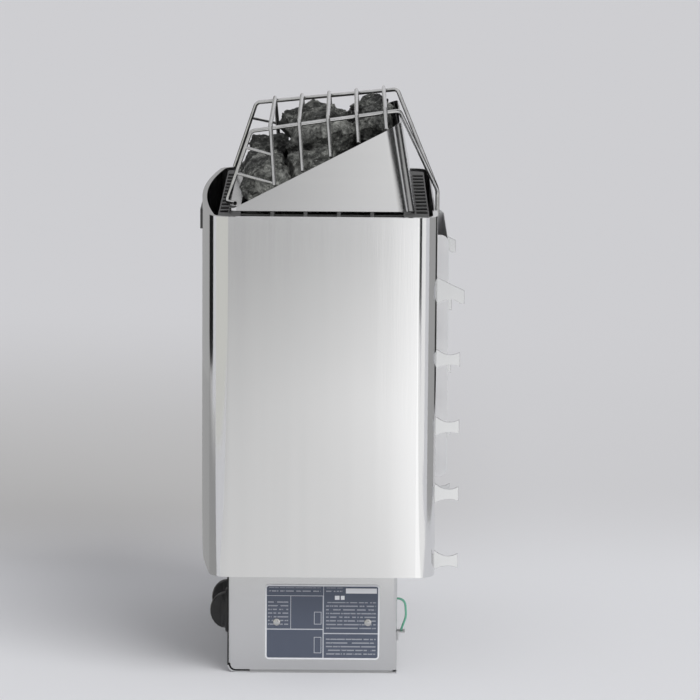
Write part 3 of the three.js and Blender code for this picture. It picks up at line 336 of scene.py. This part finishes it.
def smoothShade(angle):
    bpy.ops.object.shade_smooth_by_angle(angle=math.radians(angle))


def placed(piece, node, finish):
    piece.data.materials.clear()
    piece.data.materials.append(finish)
    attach(piece, bodyOf[node])
    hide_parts(node)
    return piece


# a working copy of a CAD node, welded, smoothed over its round bends and put in its place
dressing = {"weld": 2e-6, "flat": 0.2, "angle": 32}


def dressedCopy(node, finish, angle=dressing["angle"], bevel=0.0):
    piece = nodes[node].copy()
    piece.data = piece.data.copy()
    piece.name = node + "_finished"
    for key in list(piece.keys()):
        del piece[key]
    piece.parent = None
    bpy.context.scene.collection.objects.link(piece)
    pick(piece)
    editAll()
    bpy.ops.mesh.remove_doubles(threshold=dressing["weld"])
    bpy.ops.mesh.dissolve_limited(angle_limit=math.radians(dressing["flat"]))
    bpy.ops.object.mode_set(mode="OBJECT")
    if bevel:
        softEdge(piece, bevel)
    smoothShade(angle)
    shaped(piece, "WEIGHTED_NORMAL", keep_sharp=True, weight=100)      # flat sheet stays flat up to its bends
    return placed(piece, node, finish)


# finish, then the smoothing angle and the bevel where they aren't the usual ones
smoothed = {
    "outer_casing": (casingSteel,), "stone_hood": (hoodSteel,),
    "inner_jacket": (sheetSteel,), "stone_container": (sheetSteel,),
    "switch_box": (boxSteel,), "front_panel": (panelSteel,),
    "plate_screw_front": (wireSteel, 40), "plate_screw_rear": (wireSteel, 40),
    "timer_knob": (knobPlastic, 32, 0.0006), "thermostat_knob": (knobPlastic, 32, 0.0006),
    "timer_shaft": (sheetSteel, 40), "thermostat_shaft": (sheetSteel, 40),
    "reset_button": (knobPlastic, 40, 0.0004), "cable_gland": (knobPlastic, 40, 0.0004),
    "earth_wire": (greenSheath, 60), "thermostat_sensor": (copperSkin, 60),
    "heating_element_front": (tubeSteel, 62), "heating_element_middle": (tubeSteel, 62),
    "heating_element_rear": (tubeSteel, 62), "element_lead_1": (greySheath, 62),
    "element_lead_2": (greySheath, 62), "element_lead_3": (greySheath, 62),
    "rating_plate": (slatePlate, 40), "hanger_rail_right": (hookSteel, 32, 0.0004),
    "hanger_rail_left": (hookSteel, 32, 0.0004),
}
for node, settings in smoothed.items():
    dressedCopy(node, *settings)
print("sheets, knobs and tubes dressed")

# nodes that stay as the CAD made them
kept = {
    "rear_panel": sheetSteel, "back_channel": channelSteel, "air_ring": ringSteel, "stone_grate": sheetSteel,
    "chassis_plate": sheetSteel, "element_plate": sheetSteel, "bottom_cover": sheetSteel,
    "timer_body": bodyPlastic, "thermostat_body": bodyPlastic, "overheat_limiter": bodyPlastic,
    "terminal_block": bodyPlastic, "earth_lug": sheetSteel,
}
for node, finish in kept.items():
    nodes[node].data.materials.clear()
    nodes[node].data.materials.append(finish)

# bare plate on the front, in millimetres
frontPlate = {"middle": (-142.4, 0.0, 480.5), "size": (2.0, 62.0, 22.0), "corner": 3.0, "cornerSteps": 6,
              "edge": 0.5, "angle": 35}


def barePlate(look):
    bpy.ops.object.select_all(action="DESELECT")
    bpy.ops.mesh.primitive_cube_add(size=1, location=(0, 0, 0))
    piece = bpy.context.object
    piece.name = "front_bare_plate"
    editAll()
    bpy.ops.transform.resize(value=[side * mm for side in look["size"]])
    bpy.ops.transform.translate(value=[place * mm for place in look["middle"]])
    bpy.ops.mesh.select_all(action="DESELECT")
    bpy.ops.object.mode_set(mode="OBJECT")
    for edge in piece.data.edges:                  # the four short edges, through the plate
        ends = [piece.data.vertices[i].co for i in edge.vertices]
        edge.select = abs(ends[0].x - ends[1].x) > mm
    bpy.ops.object.mode_set(mode="EDIT")
    bpy.ops.mesh.select_mode(type="EDGE")
    bpy.ops.mesh.bevel(offset=look["corner"] * mm, segments=look["cornerSteps"], profile=0.5)
    bpy.ops.mesh.select_mode(type="VERT")
    bpy.ops.object.mode_set(mode="OBJECT")
    softEdge(piece, look["edge"] * mm)
    smoothShade(look["angle"])
    piece.data.materials.append(ringSteel)
    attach(piece, "heater")


barePlate(frontPlate)

# stones: each numbered CAD lump is split in two, then every lump is lumped up, broken into flat chips and pitted
stoneShape = {"voxel": 0.0022, "fineVoxel": 0.0016, "rowVoxel": 0.004, "gap": 0.0006, "sideways": 0.6, "tilt": 0.5,
              "turnStep": 0.9, "soften": 4, "lump": 0.022, "lumpDepth": 0.03, "lumpLevel": 0.57, "facets": 110,
              "rounding": 1, "pit": 0.008, "pitDepth": 0.006, "pitLevel": 0.6, "angle": 38}


def chipTexture(name, size):
    made = bpy.data.textures.new(name, "CLOUDS")
    made.noise_scale = size
    made.noise_depth = 3
    return made


lumps = chipTexture("stoneLumps", stoneShape["lump"])
pits = chipTexture("stonePits", stoneShape["pit"])


def splitStone(piece, node, turn):
    low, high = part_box(node)
    middle = (Vector(low) + Vector(high)) / 2
    across = Vector((math.cos(turn), math.sin(turn) * stoneShape["sideways"],
                     stoneShape["tilt"] * math.sin(3 * turn))).normalized()
    bpy.ops.object.duplicate()
    halves = [piece, bpy.context.object]
    for half, side in zip(halves, (1, -1)):
        pick(half)
        editAll()
        bpy.ops.mesh.bisect(plane_co=middle + across * side * stoneShape["gap"], plane_no=across * side,
                            use_fill=True, clear_inner=True)
        bpy.ops.object.mode_set(mode="OBJECT")
    pick(*halves)
    bpy.ops.object.join()


def roughStone(node, voxel, turn=None):
    look = stoneShape
    piece = dressedCopy(node, brokenStone, 20)
    if turn is not None:
        splitStone(piece, node, turn)
    shaped(piece, "REMESH", mode="VOXEL", voxel_size=voxel)
    shaped(piece, "SMOOTH", iterations=look["soften"])
    shaped(piece, "DISPLACE", texture=lumps, texture_coords="LOCAL", strength=look["lumpDepth"],
           mid_level=look["lumpLevel"])
    shaped(piece, "DECIMATE", ratio=min(1.0, look["facets"] / len(piece.data.polygons) / 2))
    shaped(piece, "REMESH", mode="VOXEL", voxel_size=look["fineVoxel"])
    shaped(piece, "SMOOTH", iterations=look["rounding"])
    shaped(piece, "DISPLACE", texture=pits, texture_coords="LOCAL", strength=look["pitDepth"],
           mid_level=look["pitLevel"])
    smoothShade(look["angle"])


for node in sorted(nodes):
    number = node.removeprefix("stone_")
    if node.startswith("stone_row_"):
        roughStone(node, stoneShape["rowVoxel"])
    elif number.isdigit():
        roughStone(node, stoneShape["voxel"], stoneShape["turnStep"] * int(number))
print("stones chipped")

# wire guard, in millimetres: rails that draw together towards the wall, legs, a tail behind the casing,
# hoops down to the hood's edge and infill wires
guard = {"wire": 2.3, "infill": 1.6, "bend": 4.0, "bendSteps": 8, "roundness": 3, "angle": 40,
         "railFront": (-86.5, 139.0, 590.4), "railRear": (72.3, 108.0, 609.8),
         "footEnd": (-102.5, 154.0, 514.6), "legFoot": (-112.0, 139.0, 514.6),
         "knee": (116.3, 2.0, 510.2), "tail": (116.3, 2.0, 484.0),
         "hoopStart": -65.5, "hoopPitch": 30.6, "hoops": 5, "lean": 0.08, "sink": 0.6, "seat": 2.14,
         "edgeFoot": (-103.5, 512.0), "edgeHead": (72.0, 597.0), "hoodFoot": (175.5, 509.5),
         "hoodLean": 50.0 / 87.5, "sheet": 1.2, "meets": ((0.4, 0.03), (0.77, 0.5))}


def wirePiece(corners, radius):
    bpy.ops.object.select_all(action="DESELECT")
    bpy.ops.mesh.primitive_plane_add(size=0.01, location=(0, 0, 0))
    editAll()
    bpy.ops.mesh.merge(type="CENTER")
    bpy.ops.transform.translate(value=corners[0] * mm)
    for start, end in zip(corners, corners[1:]):
        bpy.ops.mesh.extrude_region_move(TRANSFORM_OT_translate={"value": (end - start) * mm})
    if len(corners) > 2:
        bpy.ops.mesh.select_all(action="SELECT")
        bpy.ops.mesh.bevel(offset=guard["bend"] * mm, segments=guard["bendSteps"], profile=0.5,
                           affect="VERTICES", offset_type="OFFSET", clamp_overlap=True)
    bpy.ops.object.mode_set(mode="OBJECT")
    bpy.ops.object.convert(target="CURVE")
    wire = bpy.context.object.data
    wire.bevel_depth, wire.bevel_resolution, wire.use_fill_caps = radius * mm, guard["roundness"], True
    bpy.ops.object.convert(target="MESH")
    return bpy.context.object


def guardPaths(look):
    front, rear = Vector(look["railFront"]), Vector(look["railRear"])
    (footX, footZ), (headX, headZ) = look["edgeFoot"], look["edgeHead"]
    slope = (headZ - footZ) / (headX - footX)
    paths, firstHoop = [], None
    for i in range(look["hoops"]):
        x = look["hoopStart"] + i * look["hoopPitch"]
        rail = front.lerp(rear, (x - front.x) / (rear.x - front.x))
        half, top = rail.y, rail.z + 2 * look["wire"] - look["sink"]
        edge = footZ + (x - footX) * slope
        low = (edge + look["seat"] + slope * look["lean"] * top) / (1 + slope * look["lean"])
        back = x + look["lean"] * (top - low)
        rise = low - look["seat"] - look["hoodFoot"][1]
        wide = look["hoodFoot"][0] - rise * look["hoodLean"] - look["sheet"] / 2
        hoop = [Vector((back, -wide, low)), Vector((x, -half, top)),
                Vector((x, half, top)), Vector((back, wide, low))]
        firstHoop = firstHoop or hoop
        paths.append((hoop, look["wire"]))
    for side in (-1, 1):
        corners = [look[name] for name in ("footEnd", "legFoot", "railFront", "railRear", "knee", "tail")]
        outline = [Vector((x, side * y, z)) for x, y, z in corners]
        paths.append((outline, look["wire"]))
        hoopFoot, shoulder = firstHoop[:2] if side < 0 else firstHoop[:1:-1]
        for leg, rise in look["meets"]:
            infill = [outline[1].lerp(outline[2], leg), hoopFoot.lerp(shoulder, rise)]
            paths.append((infill, look["infill"]))
    return paths


def stoneGuard():
    wires = [wirePiece(corners, radius) for corners, radius in guardPaths(guard)]
    pick(*wires)
    bpy.ops.object.join()
    piece = bpy.context.object
    piece.name = "stone_guard_wires"
    smoothShade(guard["angle"])
    placed(piece, "stone_guard", wireSteel)


stoneGuard()
print("guard bent")

# camera at the photograph's viewing angle
cameraLook = {"place": (0.0187, -4.558, 1.107), "pitch": 9.667, "yaw": 0.03, "roll": 0.4, "lens": 214.26}
bpy.ops.object.camera_add(location=cameraLook["place"])
camera = bpy.context.object
turned = (Matrix.Rotation(-math.radians(cameraLook["yaw"]), 4, "Z")
          @ Matrix.Rotation(math.radians(90 - cameraLook["pitch"]), 4, "X")
          @ Matrix.Rotation(math.radians(cameraLook["roll"]), 4, "Z"))
camera.rotation_euler = turned.to_euler()
camera.data.lens = cameraLook["lens"]
camera.data.clip_end = 100
bpy.context.scene.camera = camera

# plain pale floor, with painted light making it a little brighter in front and a painted shadow making it greyer to
# the rear left
floorLook = {"size": 60, "drop": 0.0002, "pale": (0.735, 0.735, 0.75), "paintedLight": (0.815, 0.82, 0.84),
             "grey": (0.57, 0.565, 0.56), "paintedLightEnd": (0.9, 0.3), "paintedShadowStart": (0.25, 0.75), "paintedShadowEnd": (2.4, 0.8),
             "paintedShadowSide": (0.3, -0.15), "paintedShadowLeast": 0.16, "mottle": 3, "rough": 0.42, "mottleGloss": 0.06}


def eased(where, start, end):                      # 0 at the start, 1 at the end, soft between
    share = ((where - start) / (end - start)).share()
    return share * share * (3 - share * 2)


def studioFloor(look):
    bpy.ops.object.select_all(action="DESELECT")
    bpy.ops.mesh.primitive_plane_add(size=look["size"], location=(0, 0, 0))
    floor = bpy.context.object
    floor.name = "studio_floor"
    editAll()
    bpy.ops.mesh.subdivide(number_cuts=3)
    bpy.ops.object.mode_set(mode="OBJECT")
    floor.location.z = -look["drop"]
    bpy.ops.object.transform_apply(location=True)
    paint = Finish("studioFloor", {"Specular IOR Level": 0.0})
    mottle = paint.noise(look["mottle"], 3, 0.5)
    x, y = paint.axes()[:2]
    # painted light: the floor is brightened in front
    paintedLight = eased(y, *look["paintedLightEnd"])
    # painted shadow: the floor is greyed to the rear left, where a soft shadow falls
    grey = eased(y, *look["paintedShadowStart"]) * eased(y, *look["paintedShadowEnd"])
    grey = grey * (look["paintedShadowLeast"] + eased(x, *look["paintedShadowSide"]) * (1 - look["paintedShadowLeast"]))
    tint = paint.blend(grey, paint.blend(paintedLight, look["pale"], look["paintedLight"]), look["grey"])
    floor.data.materials.append(paint.wear({"Base Color": tint,
                                            "Roughness": look["rough"] + mottle * look["mottleGloss"]}))


studioFloor(floorLook)

# studio cards that only the steel sees: middle, width and height, lean and swing in degrees, and a glow, or
# rows of glow: a place along the card's height, then the glow at places across its width
cardLook = {
    "front": {"spot": (-0.1, -2.45, 0.004), "size": (1.0, 3.8), "turn": (0, 0), "rows": (
        (0.25, ((0.0, 0.45), (0.45, 0.49), (0.6, 0.63), (0.69, 0.66), (0.75, 1.3))),
        (0.65, ((0.0, 0.6), (0.45, 0.67), (0.6, 0.83), (0.66, 0.92), (0.74, 1.3))),
        (0.95, ((0.0, 0.7), (0.5, 0.74), (0.66, 0.82), (0.72, 1.2))))},
    "frontRight": {"spot": (0.6, -2.45, 0.004), "size": (0.4, 3.8), "turn": (0, 0), "glow": 0.95},
    "overhead": {"spot": (0.25, -0.95, 1.55), "size": (1.0, 0.9), "turn": (-38, 0), "rows": (
        (0, ((0, 0.33), (0.2, 0.54), (0.36, 0.84), (0.5, 0.8), (0.6, 0.68))),)},
    "leftWall": {"spot": (-0.975, -1.5, 0.4), "size": (2.44, 0.9), "turn": (90, 115.5), "glow": 0.66, "warmth": 0.95},
    "leftFloor": {"spot": (-0.95, 0.95, 0.003), "size": (1.5, 2.6), "turn": (0, 0), "rows": (
        (0, ((0, 0.55), (0.3, 0.33), (1, 0.33))),)},
    "leftRear": {"spot": (-0.45, 1.67, 0.45), "size": (0.95, 0.95), "turn": (90, 43.3), "glow": 0.36},
    "leftFlag": {"spot": (-1.17, 0.76, 0.6), "size": (1.4, 1.0), "turn": (90, 57), "glow": 0.012},
    "slimFlag": {"spot": (0.742, -2.283, 0.3), "size": (0.5, 0.5), "turn": (90, 18), "glow": 0.02},
    "rightGlow": {"spot": (0.81, -1.16, 0.4), "size": (0.5, 0.8), "turn": (90, 37), "glow": 0.95},
    "rightWall": {"spot": (0.95, 0.0, 0.5), "size": (1.0, 1.0), "turn": (90, 90), "glow": 0.38},
    "rightFlag": {"spot": (1.05, 1.15, 0.6), "size": (1.3, 1.4), "turn": (90, 130), "glow": 0.03},
    "hoodSide": {"spot": (0.8, -0.62, 1.35), "size": (0.75, 0.7), "turn": (45, 48), "glow": 0.03},
    "hoodFlag": {"spot": (1.11, 0.4, 1.1), "size": (1.3, 0.7), "turn": (64.8, 116.6), "glow": 0.03},
}
cardStrength = 2                                   # leaves the glow colours at or under 1


def cardGlow(paint, look):
    def tinted(glow):
        level = glow / cardStrength
        return level, level, level * look.get("warmth", 1.0)

    if "glow" in look:
        return *tinted(look["glow"]), 1
    across, along = (axis / side + 0.5 for axis, side in zip(paint.axes(), look["size"]))
    glow, reached = None, 0
    for place, stops in look["rows"]:
        band = paint.ramp(across, [(where, tinted(shine)) for where, shine in stops])
        glow = paint.blend(((along - reached) / (place - reached)).share(), glow, band) if glow else band
        reached = place
    return glow


def studioCard(name, look):
    bpy.ops.object.select_all(action="DESELECT")
    bpy.ops.mesh.primitive_plane_add(size=1)
    card = bpy.context.object
    card.name = "studio_card_" + name
    paint = Finish("studioCard" + name.title(), {"Base Color": (0, 0, 0, 1), "Specular IOR Level": 0,
                                                 "Emission Strength": cardStrength})
    card.data.materials.append(paint.wear({"Emission Color": cardGlow(paint, look)}))
    editAll()
    bpy.ops.transform.resize(value=(*look["size"], 1))
    bpy.ops.object.mode_set(mode="OBJECT")
    lean, swing = look["turn"]
    card.rotation_euler = (math.radians(lean), 0, math.radians(swing))
    card.location = look["spot"]
    card.visible_camera = card.visible_diffuse = card.visible_shadow = False


for name, look in cardLook.items():
    studioCard(name, look)

# one broad soft lamp from the right, kept out of the steel's reflections
lampLook = {"place": (2, -1.5, 3), "towards": (0.75, -0.9, 0.9), "strength": 1.8, "softness": 42}
bpy.ops.object.light_add(type="SUN", location=lampLook["place"])
lamp = bpy.context.object
lamp.name = "lamp_right"
lamp.data.energy, lamp.data.angle = lampLook["strength"], math.radians(lampLook["softness"])
lamp.rotation_euler = Vector(lampLook["towards"]).to_track_quat("Z", "Y").to_euler()
lamp.visible_glossy = False

# room light: stronger from the front right for the shading, pale grey where the camera or the steel looks
worldLook = {"shown": (0.6, 0.6, 0.615), "upper": (0.7, 0.7, 0.715), "rise": 1.2, "dim": (0.18, 0.18, 0.185),
             "bright": (0.8, 0.8, 0.82), "lean": (0.45, -0.8)}


def studioRoom(look):
    world = bpy.data.worlds.new("studioRoom")
    bpy.context.scene.world = world
    world.use_nodes = True
    room = Finish("studioRoom", {}, world.node_tree)
    path = room.node("ShaderNodeLightPath").out.node
    camera, glossy, transmission = (Value(room.tree, path.outputs["Is " + kind + " Ray"])
                                    for kind in ("Camera", "Glossy", "Transmission"))
    aimX, aimY, aimZ = room.axes("Generated")
    front = (0.5 + (aimX * look["lean"][0] + aimY * look["lean"][1]) * 0.5).share()
    fill = room.blend(front, look["dim"], look["bright"])
    shown = room.blend((aimZ * look["rise"]).share(), look["shown"], look["upper"])
    lit = room.node("ShaderNodeBackground", {}, {"Color": fill, "Strength": 1.0})
    back = room.node("ShaderNodeBackground", {}, {"Color": shown, "Strength": 1.0})
    mixed = room.node("ShaderNodeMixShader", {},
                      {0: camera.over(glossy).over(transmission), 1: lit, 2: back})
    room.tree.links.new(mixed.out, room.tree.nodes["World Output"].inputs[0])


studioRoom(worldLook)
bpy.context.scene.view_settings.view_transform = "Standard"
print("studio set")
